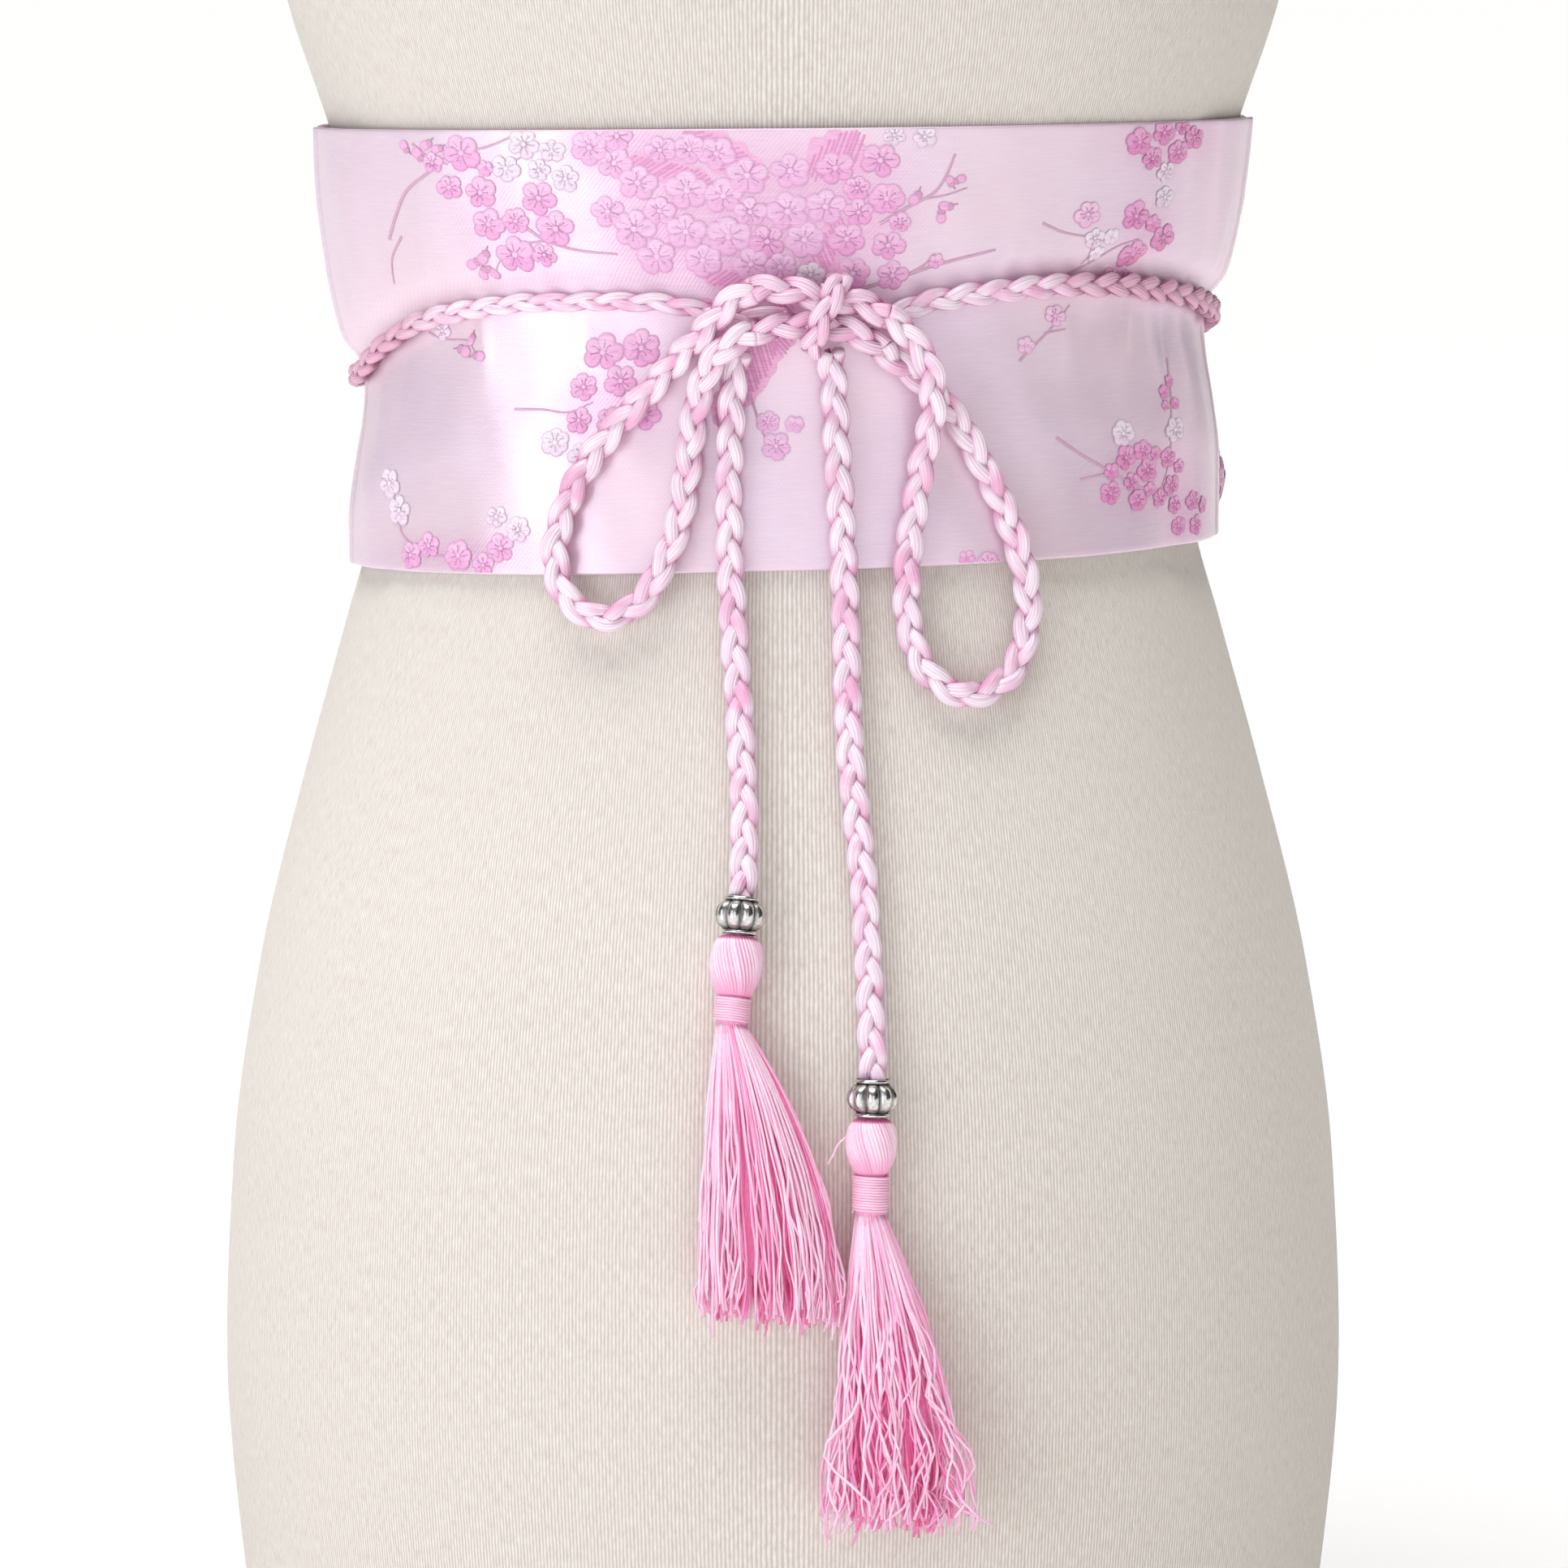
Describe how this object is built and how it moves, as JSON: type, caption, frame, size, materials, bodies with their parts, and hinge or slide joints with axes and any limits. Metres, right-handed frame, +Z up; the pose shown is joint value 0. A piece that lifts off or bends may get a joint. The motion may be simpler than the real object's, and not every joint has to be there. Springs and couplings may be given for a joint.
{
  "type": "satin sash on a dress form",
  "caption": "Wide brocade satin sash wrapped round a dress form and tied with a braided cord bow whose tails end in beads and tassels.",
  "frame": {"origin": "middle of the dress form's flat underside", "axes": "+Z up along the form, -Y towards the side where the bow is tied, +X to the right as that side is looked at"},
  "size_m": [0.3472, 0.2779, 0.874],
  "materials": {
    "linen": "unbleached linen jersey stretched over the form, matt",
    "satin": "pale pink brocade satin, glossy, with woven plum blossom",
    "cord": "braided pink rayon yarn, glossy",
    "silver": "cast zinc with an antique silver finish, dark in its recesses"
  },
  "bodies": {
    "root": {"dress_form": "linen", "sash_near": "satin", "sash_far": "satin", "cord_waist": "cord", "knot": "cord", "loop_left": "cord", "loop_right": "cord", "tail_left": "cord", "tail_right": "cord", "bead_left": "silver", "bead_right": "silver", "binding_left": "cord", "binding_right": "cord", "tassel_left": "cord", "tassel_right": "cord"}
  },
  "joints": []
}
